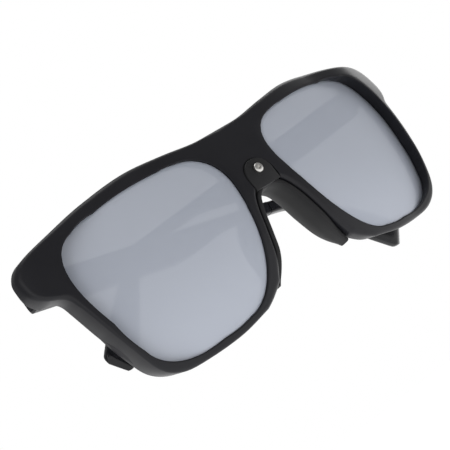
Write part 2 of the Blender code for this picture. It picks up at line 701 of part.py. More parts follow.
def arm(side_name, side, carrier, path):
    """Moulded arm from the hinge to the ear tip, bored from its rear end for the wire."""
    bm = bmesh.new()
    end = ARM_START + round(TIP_JOIN - ARM_START)
    outer = [arm_section(path, ARM_START, 0.5)]
    outer += [arm_section(path, s) for s in spread(ARM_START + 0.5, end, 5.0)]
    bore = [arm_section(path, s, radius=WIRE_R + WIRE_GAP) for s in spread(WIRE_START - 1.0, end, 4.0)]
    rows = skin(bm, outer, cap=False)
    inner = skin(bm, bore[::-1], cap=False)
    bm.faces.new(rows[0][::-1])
    bm.faces.new(inner[-1])
    for i in range(len(rows[-1])):
        j = (i + 1) % len(rows[-1])
        bm.faces.new((rows[-1][i], rows[-1][j], inner[0][j], inner[0][i]))
    obj = finish("arm_" + side_name, bm, MATERIALS["frame"], carrier, side=side)
    for k, s in enumerate(ARM_SCREWS):
        bm = bmesh.new()
        depth = ARM_IN - LEAF_GAP - LEAF_THICK + FIX_LONG + FIX_GAP * 2
        turned(bm, [(FIX_R + FIX_GAP, 0.0), (FIX_R + FIX_GAP, depth)], 12)
        bmesh.ops.transform(bm, verts=bm.verts, matrix=Matrix.Rotation(math.radians(90), 4, "Y"))
        bmesh.ops.translate(bm, verts=bm.verts, vec=(0.0, s, 0.0))
        boolean(obj, tool_object("cut_arm_%s_%d" % (side_name, k), bm, carrier, side), "DIFFERENCE")
    return obj


def ear_tip(side_name, side, carrier, path):
    """Glossy sleeve over the wire, closed and rounded at its end."""
    bm = bmesh.new()
    start = TIP_JOIN + SEAT_GAP
    outer = [arm_section(path, s, power=4.0) for s in spread(start, ARM_LENGTH - 3.5, 3.0)]
    for s, shrink in ((ARM_LENGTH - 2.0, 0.25), (ARM_LENGTH - 1.0, 0.7), (ARM_LENGTH, 1.35)):
        outer.append(arm_section(path, s, shrink, power=3.0))
    bore = [arm_section(path, s, radius=WIRE_R + WIRE_GAP) for s in spread(start, WIRE_END + 1.0, 3.0)]
    rows = skin(bm, outer, cap=False)
    inner = skin(bm, bore, cap=False)
    bm.faces.new(rows[-1])
    bm.faces.new(inner[-1][::-1])
    for i in range(len(rows[0])):
        j = (i + 1) % len(rows[0])
        bm.faces.new((rows[0][j], rows[0][i], inner[0][i], inner[0][j]))
    return finish("ear_tip_" + side_name, bm, MATERIALS["tip"], carrier, side=side)


def core_wire(side_name, side, carrier, path):
    bm = bmesh.new()
    skin(bm, [arm_section(path, s, radius=WIRE_R, points=12) for s in spread(WIRE_START, WIRE_END, 4.0)])
    return finish("core_wire_" + side_name, bm, MATERIALS["steel"], carrier, side=side)


def hinge_frames():
    """One empty on each hinge axis, and one that carries the folded arm."""
    hinges, carriers = {}, {}
    for name, side in SIDES.items():
        hinge = bpy.data.objects.new("hinge_axis_" + name, None)
        hinge.location = (Vector((side * AXIS_X, AXIS_Y, AXIS_Z)) - Vector(DATUM)) * MM
        hinge.rotation_euler = (0.0, math.radians(AXIS_CANT), 0.0)
        bpy.context.collection.objects.link(hinge)
        carrier = bpy.data.objects.new("arm_axis_" + name, None)
        carrier.parent = hinge
        fold = {"right": -FOLD_RIGHT, "left": FOLD_LEFT}[name]
        carrier.rotation_euler = (0.0, 0.0, math.radians(fold))
        bpy.context.collection.objects.link(carrier)
        hinges[name] = hinge
        carriers[name] = carrier
    return hinges, carriers


for old in list(bpy.data.objects):
    bpy.data.objects.remove(old, do_unlink=True)

MATERIALS = {
    "frame": make_material("satin_black_nylon", (0.018, 0.018, 0.020), 0.42, 0.0),
    "tip": make_material("gloss_black_tip", (0.012, 0.012, 0.013), 0.16, 0.0),
    "rubber": make_material("black_rubber", (0.014, 0.014, 0.015), 0.62, 0.0),
    "lens": make_material("silver_mirror_lens", (0.42, 0.44, 0.48), 0.08, 0.0, 0.9),
    "steel": make_material("steel", (0.55, 0.54, 0.52), 0.3, 1.0),
    "brass": make_material("brass", (0.70, 0.52, 0.26), 0.35, 1.0),
}
HINGES, CARRIERS = hinge_frames()

front_frame()
nose_piece()
nose_fixings()
PATH = arm_path()
for side_key, side_sign in SIDES.items():
    lens(side_key, side_sign)
    front_leaf(side_key, side_sign, HINGES[side_key])
    hinge_screw(side_key, side_sign, HINGES[side_key])
    arm(side_key, side_sign, CARRIERS[side_key], PATH)
    ear_tip(side_key, side_sign, CARRIERS[side_key], PATH)
    core_wire(side_key, side_sign, CARRIERS[side_key], PATH)
    arm_leaf(side_key, side_sign, CARRIERS[side_key])
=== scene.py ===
# %% [markdown]
# Folding square sunglasses, lying with both arms folded behind the front.
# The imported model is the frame: it fixes every size, every hinge and every piece's place.
# This lesson rebuilds the visible surfaces finely around that frame and gives each one a finish.

# %% Load the frame
import json
import math

import bmesh
import bpy
from mathutils import Matrix, Vector

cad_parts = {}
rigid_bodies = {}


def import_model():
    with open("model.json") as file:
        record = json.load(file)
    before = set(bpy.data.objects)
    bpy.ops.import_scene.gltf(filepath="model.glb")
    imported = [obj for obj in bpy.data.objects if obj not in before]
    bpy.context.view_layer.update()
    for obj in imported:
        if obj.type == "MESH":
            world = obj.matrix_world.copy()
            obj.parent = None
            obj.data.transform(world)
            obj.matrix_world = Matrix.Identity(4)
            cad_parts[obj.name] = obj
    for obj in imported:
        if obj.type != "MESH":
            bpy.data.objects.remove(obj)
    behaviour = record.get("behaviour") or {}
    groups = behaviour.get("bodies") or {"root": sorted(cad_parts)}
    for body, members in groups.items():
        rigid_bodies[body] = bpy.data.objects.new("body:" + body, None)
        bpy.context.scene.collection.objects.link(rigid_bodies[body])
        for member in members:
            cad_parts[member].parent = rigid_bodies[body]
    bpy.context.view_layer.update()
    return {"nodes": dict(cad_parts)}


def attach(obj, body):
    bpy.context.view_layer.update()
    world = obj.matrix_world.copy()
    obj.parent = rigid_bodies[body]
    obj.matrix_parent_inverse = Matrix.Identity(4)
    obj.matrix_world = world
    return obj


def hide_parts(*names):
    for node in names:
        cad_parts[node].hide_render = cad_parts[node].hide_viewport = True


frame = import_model()

# %% [markdown]
# The glasses are drawn in millimetres around the middle of the bridge, as a frame maker draws them.
# One datum moves every finished piece into the frame's own metres.

# %% Sizes shared by the pieces
MM = 0.001
DATUM = Vector((0.0, 12.676, -26.312))
SIDES = {"right": -1, "left": 1}
LENS_X = 35.5
LENS_CURVE = 84.6
LENS_WRAP = math.tan(math.radians(13.69))
LENS_THICK = 1.8
SEAT_GAP = 0.3
EYE_CORNERS = [(66.9, 19.0, 0.54, 0.42), (37.5, 23.8, 0.28, 0.40), (6.2, 20.2, 0.43, 0.34),
               (16.0, -21.5, 0.54, 0.32), (55.8, -24.1, 0.45, 0.23)]
FRONT_EDGE = [(0.0, 24.3), (8.9, 24.4), (20.2, 25.9), (32.5, 27.2), (45.8, 26.5), (58.0, 24.5),
              (67.1, 22.7), (70.8, 19.8), (71.5, 16.3), (71.1, 13.1), (69.2, 10.6), (65.8, 7.9),
              (64.5, 3.9), (62.8, -4.1), (60.6, -12.3), (57.4, -20.0), (52.0, -23.8),
              (43.6, -24.9), (32.9, -24.9), (22.8, -23.3), (15.4, -19.2), (12.0, -13.6),
              (9.9, -7.2), (7.9, -1.2), (5.6, 3.0), (2.6, 5.2), (0.0, 5.6)]
NOSE_EDGE_FROM = 20
print("front", len(FRONT_EDGE), "outline points, lens radius", LENS_CURVE, "mm")

# %% [markdown]
# Moulded eyewear is all smooth outlines. Two kinds of curve are enough: one that rounds the corners
# of a polygon, for the lens opening, and one that passes through given points, for the outside.

# %% Curve helpers


def smooth(value, low, high):
    t = min(1.0, max(0.0, (value - low) / (high - low)))
    return t * t * (3 - 2 * t)


def corner_curve(corners, steps=24):
    points = []
    for i, (x, z, before, after) in enumerate(corners):
        here = Vector((x, z))
        start = here.lerp(Vector(corners[i - 1][:2]), before)
        end = here.lerp(Vector(corners[(i + 1) % len(corners)][:2]), after)
        pull_start, pull_end = start.lerp(here, 0.62), end.lerp(here, 0.62)
        for k in range(steps + 1):
            t = k / steps
            s = 1 - t
            points.append(start * s ** 3 + pull_start * 3 * s * s * t
                          + pull_end * 3 * s * t * t + end * t ** 3)
    return points


def through_curve(points, steps):
    rows = [Vector(p) for p in points]
    rows = [rows[0] * 2 - rows[1]] + rows + [rows[-1] * 2 - rows[-2]]
    out = []
    for a, b, c, d in zip(rows, rows[1:], rows[2:], rows[3:]):
        for k in range(steps):
            t = k / steps
            out.append(((b * 2) + (c - a) * t + (a * 2 - b * 5 + c * 4 - d) * t * t
                        + (b * 3 - a - c * 3 + d) * t ** 3) * 0.5)
    out.append(rows[-2])
    return out


def through_value(values, t):
    place = t * (len(values) - 1)
    i = min(int(place), len(values) - 2)
    f = place - i
    a, b = values[max(0, i - 1)], values[i]
    c, d = values[i + 1], values[min(len(values) - 1, i + 2)]
    return 0.5 * (2 * b + (c - a) * f + (2 * a - 5 * b + 4 * c - d) * f * f
                  + (3 * b - a - 3 * c + d) * f ** 3)


def polar(points, centre):
    rows = sorted((math.atan2(p[1] - centre[1], p[0] - centre[0]),
                   math.hypot(p[0] - centre[0], p[1] - centre[1])) for p in points)
    turn = 2 * math.pi
    return [(rows[-1][0] - turn, rows[-1][1])] + rows + [(rows[0][0] + turn, rows[0][1])]


def reach(table, angle):
    angle = math.atan2(math.sin(angle), math.cos(angle))
    for (a0, r0), (a1, r1) in zip(table, table[1:]):
        if a0 <= angle <= a1:
            return r0 if a1 - a0 < 1e-9 else r0 + (r1 - r0) * (angle - a0) / (a1 - a0)
    return table[-1][1]


EYE = corner_curve(EYE_CORNERS)
print("lens opening", len(EYE), "points")

# %% [markdown]
# Both lenses are cut from a sphere, each turned a little towards the temple. The rims follow the
# same sphere, and the hollow that would form at the bridge is filled, so the bridge is one surface.

# %% Surfaces of the front


def lens_y(x, z):
    u = abs(x) - LENS_X
    return LENS_WRAP * u + (u * u + z * z) / (2 * LENS_CURVE)


def rim_y(x, z):
    u = max(abs(x) - LENS_X, -LENS_WRAP * LENS_CURVE)
    return LENS_WRAP * u + (u * u + z * z) / (2 * LENS_CURVE)


def front_y(x, z):
    return rim_y(x, z) - 1.5 - 3.75 * smooth(abs(x), 42.0, 62.0)


def back_y(x, z):
    return rim_y(x, z) + 2.6 + 0.6 * (lens_y(x, z) - rim_y(x, z))


print("bridge stands", round(lens_y(0, 9) - front_y(0, 9), 2), "mm proud of the lens sphere")

# %% [markdown]
# Every material is a node tree written as arithmetic. A small class wraps a socket, so that
# `1 - mask * 0.3` adds the Math nodes for it, and one method adds any other node.

# %% Shader maths


class Value:
    """One shader socket, or a number, with arithmetic that adds Math nodes."""

    def __init__(self, tree, socket):
        self.tree, self.socket = tree, socket

    def _math(self, operation, first, second):
        return self.tree.node("ShaderNodeMath", {"operation": operation}, {0: first, 1: second})

    def __add__(self, other):
        return self._math("ADD", self, other)

    def __radd__(self, other):
        return self._math("ADD", other, self)

    def __sub__(self, other):
        return self._math("SUBTRACT", self, other)

    def __rsub__(self, other):
        return self._math("SUBTRACT", other, self)

    def __mul__(self, other):
        return self._math("MULTIPLY", self, other)

    def __rmul__(self, other):
        return self._math("MULTIPLY", other, self)

    def __pow__(self, other):
        return self._math("POWER", self, other)


class Finish:
    """A material whose nodes are added one call at a time."""

    def __init__(self, name, base, roughness, metallic=0.0, **sockets):
        self.material = bpy.data.materials.new(name)
        self.material.use_nodes = True
        self.nodes = self.material.node_tree.nodes
        self.links = self.material.node_tree.links
        self.shader = self.nodes["Principled BSDF"]
        self.set("Base Color", (*base, 1.0))
        self.set("Roughness", roughness)
        self.set("Metallic", metallic)
        for key, value in sockets.items():
            self.set(key.replace("_", " "), value)
        coords = self.nodes.new("ShaderNodeTexCoord")
        self.place = Value(self, coords.outputs["Object"])

    def feed(self, socket, value):
        if isinstance(value, Value):
            self.links.new(value.socket, socket)
        else:
            socket.default_value = value

    def set(self, name, value):
        self.feed(self.shader.inputs[name], value)

    def node(self, kind, settings, sockets, output=0):
        made = self.nodes.new(kind)
        for key, value in settings.items():
            if key == "stops":
                ramp = made.color_ramp
                for element, (at, colour) in zip(ramp.elements, value):
                    element.position = at
                    element.color = (*colour, 1.0)
            else:
                setattr(made, key, value)
        for key, value in sockets.items():
            self.feed(made.inputs[key], value)
        return Value(self, made.outputs[output])

    def noise(self, scale, detail=3.0, roughness=0.5, stretch=(1, 1, 1)):
        place = self.node("ShaderNodeMapping", {}, {"Vector": self.place, "Scale": stretch})
        return self.node("ShaderNodeTexNoise", {}, {"Vector": place, "Scale": scale,
                                                    "Detail": detail, "Roughness": roughness})

    def attribute(self, name):
        return self.node("ShaderNodeAttribute", {"attribute_name": name}, {}, "Fac")

    def mix(self, share, first, second):
        """Colour between two colours."""
        made = self.nodes.new("ShaderNodeMix")
        made.data_type = "RGBA"
        self.feed(made.inputs[0], share)
        for index, colour in ((6, first), (7, second)):
            self.feed(made.inputs[index], colour if isinstance(colour, Value) else (*colour, 1.0))
        return Value(self, made.outputs[2])

    def bump(self, height, strength, distance):
        self.set("Normal", self.node("ShaderNodeBump", {}, {"Height": height, "Strength": strength,
                                                            "Distance": distance}))


print("shader helpers ready")

# %% [markdown]
# The front and arms are injection-moulded nylon with a satin, finely etched skin. The etching is a
# fine grain in the bump, and handling polishes it in soft patches.

# %% Satin black nylon
satin = Finish("satin_black_nylon", (0.014, 0.014, 0.016), 0.40, Specular_IOR_Level=0.22)
patches = satin.noise(90.0, 4.0)
grain = satin.noise(5200.0, 2.0)
satin.set("Base Color", satin.mix(patches, (0.008, 0.008, 0.010), (0.012, 0.012, 0.015)))
satin.set("Roughness", 0.38 + (patches - 0.5) * 0.12)
satin.bump(grain, 0.10, 0.00004)
print(satin.material.name)

# %% [markdown]
# The ear tips are polished black. Polished plastic shows faint hairlines along its length.

# %% Gloss black tip
gloss = Finish("gloss_black_tip", (0.008, 0.008, 0.009), 0.24, Specular_IOR_Level=0.22,
               Coat_Weight=0.05, Coat_Roughness=0.08)
hairs = gloss.noise(900.0, 3.0, stretch=(0.15, 1.0, 1.0))
gloss.set("Roughness", 0.13 + hairs * 0.10)
gloss.set("Base Color", gloss.mix(hairs, (0.006, 0.006, 0.007), (0.011, 0.011, 0.013)))
gloss.bump(hairs, 0.03, 0.00002)
print(gloss.material.name)

# %% [markdown]
# The nose piece is soft rubber: rough, slightly dusty, with no clear reflection.

# %% Black rubber
rubber = Finish("black_rubber", (0.010, 0.010, 0.011), 0.6, Specular_IOR_Level=0.25,
                Sheen_Weight=0.04, Sheen_Roughness=0.4)
dust = rubber.noise(260.0, 5.0, 0.6)
pores = rubber.noise(3600.0, 2.0)
rubber.set("Base Color", rubber.mix(dust, (0.007, 0.007, 0.008), (0.014, 0.014, 0.015)))
rubber.set("Roughness", 0.52 + dust * 0.16)
rubber.bump(pores, 0.18, 0.00005)
print(rubber.material.name)

# %% [markdown]
# The lens is a grey polarised sheet with a thin silver mirror on its front. The mirror lets about an
# eighth of the light through, so the folded arms show faintly behind it. Its colour is painted
# reflection: a light, almost flat grey stands in for the white surround seen in the mirror, a little
# bluer where the film is thicker.

# %% Silver mirror lens
silver = Finish("silver_mirror_lens", (0.40, 0.41, 0.44), 0.45, 0.22, Specular_IOR_Level=0.2,
                Alpha=0.80)
film = silver.noise(22.0, 2.0)
smear = silver.noise(140.0, 4.0, 0.6, (1.0, 1.0, 0.5))
# Painted reflection: this light base colour stands in for the white surround mirrored in the lens; the
# noise only tints it a little bluer in places.
silver.set("Base Color", silver.mix(film, (0.452, 0.484, 0.556), (0.470, 0.500, 0.572)))
silver.set("Roughness", 0.44 + smear * 0.06)
print(silver.material.name)

# %% [markdown]
# Screws and hinge leaves are plain stainless steel with fine turning lines, and the insert is brass.

# %% Steel and brass
steel = Finish("stainless_steel", (0.56, 0.55, 0.53), 0.28, 1.0)
lines = steel.noise(2400.0, 2.0, stretch=(1.0, 0.12, 1.0))
steel.set("Roughness", 0.22 + lines * 0.16)
steel.set("Base Color", steel.mix(lines, (0.50, 0.49, 0.47), (0.62, 0.61, 0.59)))
steel.bump(lines, 0.10, 0.00002)

brass = Finish("turned_brass", (0.70, 0.52, 0.26), 0.3, 1.0)
turning = brass.noise(2600.0, 2.0, stretch=(1.0, 4.0, 1.0))
brass.set("Roughness", 0.24 + turning * 0.16)
print(steel.material.name, brass.material.name)

# %% [markdown]
# A finished piece keeps its place in its mesh and its object at the origin. Every rounded part is
# shaded smooth, and an edge sharper than the given angle stays crisp.

# %% Making a piece


def skin(bm, rings, close_rings=False, cap=True):
    """Quads between equal closed rings of points."""
    rows = [[bm.verts.new(p) for p in ring] for ring in rings]
    count = len(rows[0])
    pairs = list(zip(rows, rows[1:])) + ([(rows[-1], rows[0])] if close_rings else [])
    for a, b in pairs:
        for i in range(count):
            j = (i + 1) % count
            bm.faces.new((a[i], a[j], b[j], b[i]))
    if cap and not close_rings:
        bm.faces.new(rows[0][::-1])
        bm.faces.new(rows[-1])
    return rows


def mesh_object(name, bm, side=1, place=None):
    """An object from a bmesh in millimetres; place is the matrix from its own frame, if it has one."""
    bmesh.ops.remove_doubles(bm, verts=bm.verts, dist=1e-5)
    for v in bm.verts:
        v.co.x *= side
    if place is None:
        bmesh.ops.translate(bm, verts=bm.verts, vec=-DATUM)
        bmesh.ops.scale(bm, vec=(MM, MM, MM), verts=bm.verts)
    else:
        bmesh.ops.scale(bm, vec=(MM, MM, MM), verts=bm.verts)
        bmesh.ops.transform(bm, verts=bm.verts, matrix=place)
    bmesh.ops.recalc_face_normals(bm, faces=bm.faces)
    if bm.calc_volume(signed=True) < 0:
        bmesh.ops.reverse_faces(bm, faces=bm.faces)
    mesh = bpy.data.meshes.new(name)
    bm.to_mesh(mesh)
    bm.free()
    obj = bpy.data.objects.new(name, mesh)
    bpy.context.collection.objects.link(obj)
    return obj


def apply_stack(obj):
    """Turn the evaluated object into its own plain mesh."""
    graph = bpy.context.evaluated_depsgraph_get()
    mesh = bpy.data.meshes.new_from_object(obj.evaluated_get(graph))
    obj.modifiers.clear()
    obj.data = mesh


def cut(obj, tools, operation="DIFFERENCE"):
    for tool in tools:
        mod = obj.modifiers.new(tool.name, "BOOLEAN")
        mod.operation, mod.solver, mod.object = operation, "EXACT", tool
    apply_stack(obj)
    for tool in tools:
        bpy.data.objects.remove(tool, do_unlink=True)


def dress(obj, finish, body, nodes, crease=32.0):
    """Shade, paint, tie a piece to its body, and hide the CAD nodes that it stands for."""
    mesh = obj.data
    mesh.materials.clear()
    mesh.materials.append(finish.material)
    mesh.polygons.foreach_set("material_index", [0] * len(mesh.polygons))
    mesh.shade_smooth()
    if crease is not None:
        mesh.set_sharp_from_angle(angle=math.radians(crease))
    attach(obj, body)
    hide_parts(*nodes)
    print(obj.name, len(mesh.polygons), "faces on", body)


print("piece helpers ready")

# %% [markdown]
# The front is one moulding: two rims, the bridge between them and an end piece at each side. It could
# be cut from a block with curved tools, but a loft is cleaner: one closed cross-section is swept along
# rays from a point inside the lens opening. Each section holds the lens groove, the soft front edge
# and, behind the end piece, the step that the hinge is screwed into. One half is mirrored.

# %% Front sections
EDGE_ROUND = 1.3
EDGE_BREAK = 0.4
BACK_DRAFT = 2.4
AXIS = Vector((66.0, 17.5, 15.8))
SEAT_BACK = 2.9
LUG_X = (AXIS.x - 2.5, AXIS.x + 2.5)
LUG_Z = (10.2, 23.5)
LUG_TAPER = 0.0
RAY_Z = 9.0
SLOPE = 0.12
TOP, SADDLE = FRONT_EDGE[0][1], FRONT_EDGE[-1][1]
LUG_ANGLES = [math.atan2(z - RAY_Z, LUG_X[1] - LENS_X) for z in LUG_Z]
ARC = [math.radians(a) for a in (0, 15, 30, 45, 60, 75, 90)]


def front_column(angle, eye, outline):
    cos, sin = math.cos(angle), math.sin(angle)
    inner, outer = reach(eye, angle), reach(outline, angle)
    width = outer - inner
    rounding = min(EDGE_ROUND, 0.38 * width)
    draft = min(BACK_DRAFT * smooth(LENS_X + outer * cos, 18.0, 30.0), 0.44 * width)

    def at(r):
        return LENS_X + r * cos, RAY_Z + r * sin

    def place(r, y):
        x, z = at(r)
        return Vector((x, y, z))

    def on(surface, r, drop=0.0):
        return place(r, surface(*at(r)) + drop)

    tip_x, tip_z = at(outer)
    on_middle = abs(tip_x) < 0.01
    at_end = on_middle and min(abs(tip_z - TOP), abs(tip_z - SADDLE)) < 0.01

    def edge_point(step_in, drop, surface):
        if at_end:
            z = tip_z - math.copysign(step_in, tip_z - 0.5 * (TOP + SADDLE))
            return Vector((0.0, surface(0.0, z) + drop, z))
        if on_middle:
            return Vector((0.0, surface(0.0, tip_z) + drop, tip_z))
        return on(surface, outer - step_in, drop)

    loop = [on(front_y, inner, 0.9), on(front_y, inner, EDGE_BREAK),
            on(front_y, inner + 0.3 * EDGE_BREAK, 0.3 * EDGE_BREAK),
            on(front_y, inner + EDGE_BREAK)]
    loop += [on(front_y, inner + EDGE_BREAK + s * (width - EDGE_BREAK - rounding))
             for s in (0.2, 0.4, 0.6, 0.8)]
    loop += [edge_point(rounding * (1 - math.sin(a)), rounding * (1 - math.cos(a)), front_y)
             for a in ARC]
    if LUG_ANGLES[0] - 1e-6 <= angle <= LUG_ANGLES[1] + 1e-6:
        rear = outer - LUG_TAPER
        wall = min((LUG_X[1] - LENS_X) / cos, rear - 0.9)
        seat = (LUG_X[0] - LENS_X) / cos
        lug_y, seat_y = AXIS.y - 0.8, AXIS.y - SEAT_BACK
        loop += [place(rear, lug_y - EDGE_BREAK),
                 place(rear - 0.3 * EDGE_BREAK, lug_y - 0.3 * EDGE_BREAK),
                 place(rear - EDGE_BREAK, lug_y), place(wall + SLOPE, lug_y),
                 place(wall, seat_y), place(seat, seat_y), on(back_y, seat - SLOPE)]
    else:
        loop += [edge_point(draft, -EDGE_BREAK, back_y),
                 edge_point(draft + 0.3 * EDGE_BREAK, -0.3 * EDGE_BREAK, back_y),
                 edge_point(draft + EDGE_BREAK, 0.0, back_y)]
        flat = width - draft - 2 * EDGE_BREAK
        loop += [on(back_y, inner + EDGE_BREAK + share * flat) for share in (0.8, 0.6, 0.4, 0.2)]
    half = LENS_THICK / 2 + SEAT_GAP
    deep = inner + 1.05
    loop += [on(back_y, inner + EDGE_BREAK), on(back_y, inner + 0.3 * EDGE_BREAK, -0.3 * EDGE_BREAK),
             on(back_y, inner, -EDGE_BREAK), on(lens_y, inner, half), on(lens_y, deep, half),
             on(lens_y, deep, -half), on(lens_y, inner, -half)]
    return loop


def column_angles(steps, nose_steps):
    ends = [math.atan2(z - RAY_Z, -LENS_X) for z in (TOP, SADDLE)]
    nose = [math.atan2(p.y - RAY_Z, p.x - LENS_X)
            for p in through_curve(FRONT_EDGE[NOSE_EDGE_FROM:], nose_steps)[:-1]]
    low, high = LUG_ANGLES
    exact = ends + nose + [low - SLOPE / 10, low, high, high + SLOPE / 10]
    clear = 1.5 * EDGE_ROUND / LENS_X
    near = 0.4 * 2 * math.pi / steps
    angles = []
    for k in range(steps):
        a = 2 * math.pi * k / steps - math.pi
        beside_end = min(abs(a - e) for e in ends) < clear
        if not (ends[1] <= a <= nose[0] or beside_end or min(abs(a - e) for e in exact) < near):
            angles.append(a)
    return sorted(angles + exact)


print("lug rays", [round(math.degrees(a), 1) for a in LUG_ANGLES])

# %% [markdown]
# The bridge has a shallow pocket for the tab of the nose piece and a bore for the brass insert that
# its screw bites into. Both are cut after the loft, with exact Booleans.

# %% Front moulding
TAB_W = 4.8
TAB_TOP = 12.0
TAB_FRONT = -3.95
TAB_THICK = 1.4
NOSE_SCREW_Z = 8.8
NOSE_THICK = 1.6
NOSE_STEPS = 8


def tab_solid(name, grow):
    half, top = TAB_W + grow, TAB_TOP + grow
    low = SADDLE - SEAT_GAP - NOSE_THICK
    outline = [(-half, low - grow * 4), (-half, top - half)]
    outline += [(half * math.cos(math.pi - math.pi * k / 24),
                 top - half + half * math.sin(math.pi * k / 24)) for k in range(1, 24)]
    outline += [(half, top - half), (half, low - grow * 4)]
    rows = [(TAB_FRONT - 2.0, 0.0)] if grow else [(TAB_FRONT, 0.35), (TAB_FRONT + 0.1, 0.1)]
    rows += [(TAB_FRONT + 0.35, 0.0), (TAB_FRONT + TAB_THICK + grow, 0.0)]
    bm = bmesh.new()
    middle = top - half
    skin(bm, [[Vector((x * (1 - inset / half), y, middle + (z - middle) * (1 - inset / half)))
               for x, z in outline] for y, inset in rows])
    return mesh_object(name, bm)


def rod_along_y(name, radius, y0, y1):
    bm = bmesh.new()
    ring = [(radius * math.cos(2 * math.pi * k / 40), radius * math.sin(2 * math.pi * k / 40))
            for k in range(40)]
    skin(bm, [[Vector((x, y, NOSE_SCREW_Z + z)) for x, z in ring] for y in (y0, y1)])
    return mesh_object(name, bm)


def front_moulding():
    centre = (LENS_X, RAY_Z)
    line = through_curve(FRONT_EDGE[:NOSE_EDGE_FROM], 16)
    line += through_curve(FRONT_EDGE[NOSE_EDGE_FROM:], NOSE_STEPS)
    line += [Vector((0.0, SADDLE + (TOP - SADDLE) * k / 80)) for k in range(1, 80)]
    eye, outline = polar(EYE, centre), polar(line, centre)
    bm = bmesh.new()
    skin(bm, [front_column(a, eye, outline) for a in column_angles(300, NOSE_STEPS)],
         close_rings=True)
    middle = [f for f in bm.faces if all(abs(v.co.x) < 1e-4 for v in f.verts)]
    bmesh.ops.delete(bm, geom=middle, context="FACES")
    for v in bm.verts:
        if abs(v.co.x) < 1e-4:
            v.co.x = 0.0
    twin = bmesh.ops.duplicate(bm, geom=bm.verts[:] + bm.edges[:] + bm.faces[:])["geom"]
    for v in [g for g in twin if isinstance(g, bmesh.types.BMVert)]:
        v.co.x = -v.co.x
    bmesh.ops.remove_doubles(bm, verts=bm.verts, dist=1e-4)
    loose = [v for v in bm.verts if not v.link_faces]
    bmesh.ops.delete(bm, geom=loose, context="VERTS")
    obj = mesh_object("front_moulding", bm)
    depth = TAB_FRONT + TAB_THICK + SEAT_GAP + 3.2
    cut(obj, [tab_solid("pocket_tool", SEAT_GAP), rod_along_y("insert_tool", 1.35, TAB_FRONT, depth)])
    return obj


front = front_moulding()
dress(front, satin, "front", ["front_frame"])

# %% [markdown]
# A lens is a flat disc of the opening's outline, bent to a sphere and turned towards the temple. The
# bending is a rule, so Geometry Nodes do it: one tree, with its radius and wrap as named inputs, bends
# both lenses. The disc is made of rings, so that the bent surface stays even.

# %% A Geometry Nodes helper


class Tree:
    """A geometry node group with named inputs, ending in one geometry output."""

    def __init__(self, name, inputs):
        self.group = bpy.data.node_groups.new(name, "GeometryNodeTree")
        face = self.group.interface
        face.new_socket("Geometry", in_out="INPUT", socket_type="NodeSocketGeometry")
        self.ids = {}
        for label, value in inputs.items():
            kind = "NodeSocketMaterial" if value is None else "NodeSocketFloat"
            item = face.new_socket(label, in_out="INPUT", socket_type=kind)
            self.ids[label] = item.identifier
        face.new_socket("Geometry", in_out="OUTPUT", socket_type="NodeSocketGeometry")
        self.entry = self.group.nodes.new("NodeGroupInput")
        self.exit = self.group.nodes.new("NodeGroupOutput")

    def given(self, label):
        return self.entry.outputs[label]

    def node(self, kind, settings, sockets, output=0):
        made = self.group.nodes.new(kind)
        for key, value in settings.items():
            setattr(made, key, value)
        for key, value in sockets.items():
            if isinstance(value, bpy.types.NodeSocket):
                self.group.links.new(value, made.inputs[key])
            else:
                made.inputs[key].default_value = value
        return made.outputs[output]

    def maths(self, operation, first, second):
        return self.node("ShaderNodeMath", {"operation": operation}, {0: first, 1: second})

    def close(self, geometry, material):
        real = self.node("GeometryNodeRealizeInstances", {}, {0: geometry})
        painted = self.node("GeometryNodeSetMaterial", {}, {"Geometry": real, "Material": material})
        self.group.links.new(painted, self.exit.inputs[0])

    def run(self, obj, values):
        mod = obj.modifiers.new(self.group.name, "NODES")
        mod.node_group = self.group
        for label, value in values.items():
            mod[self.ids[label]] = value
        apply_stack(obj)


print("node tree helper ready")

# %% Lens tree
LENS_INPUTS = {"Middle X": 0, "Radius": 0, "Wrap": 0, "Height Datum": 0, "Material": None}
lens_tree = Tree("bend_lens", LENS_INPUTS)
split = lens_tree.group.nodes.new("ShaderNodeSeparateXYZ")
lens_tree.group.links.new(lens_tree.node("GeometryNodeInputPosition", {}, {}), split.inputs[0])
across = lens_tree.maths("SUBTRACT", lens_tree.maths("ABSOLUTE", split.outputs[0], 0.0),
                         lens_tree.given("Middle X"))
up = lens_tree.maths("SUBTRACT", split.outputs[2], lens_tree.given("Height Datum"))
square = lens_tree.maths("ADD", lens_tree.maths("MULTIPLY", across, across),
                         lens_tree.maths("MULTIPLY", up, up))
sag = lens_tree.maths("DIVIDE", square, lens_tree.maths("MULTIPLY", lens_tree.given("Radius"), 2.0))
bend = lens_tree.maths("ADD", sag, lens_tree.maths("MULTIPLY", across, lens_tree.given("Wrap")))
offset = lens_tree.node("ShaderNodeCombineXYZ", {}, {1: bend})
bent = lens_tree.node("GeometryNodeSetPosition", {},
                      {"Geometry": lens_tree.given("Geometry"), "Offset": offset})
lens_tree.close(bent, lens_tree.given("Material"))
print("lens tree", len(lens_tree.group.nodes), "nodes")

# %% Lenses
LENS_SINK = 0.75
LENS_RINGS = [0.08 * k for k in range(1, 12)] + [0.94, 0.985]


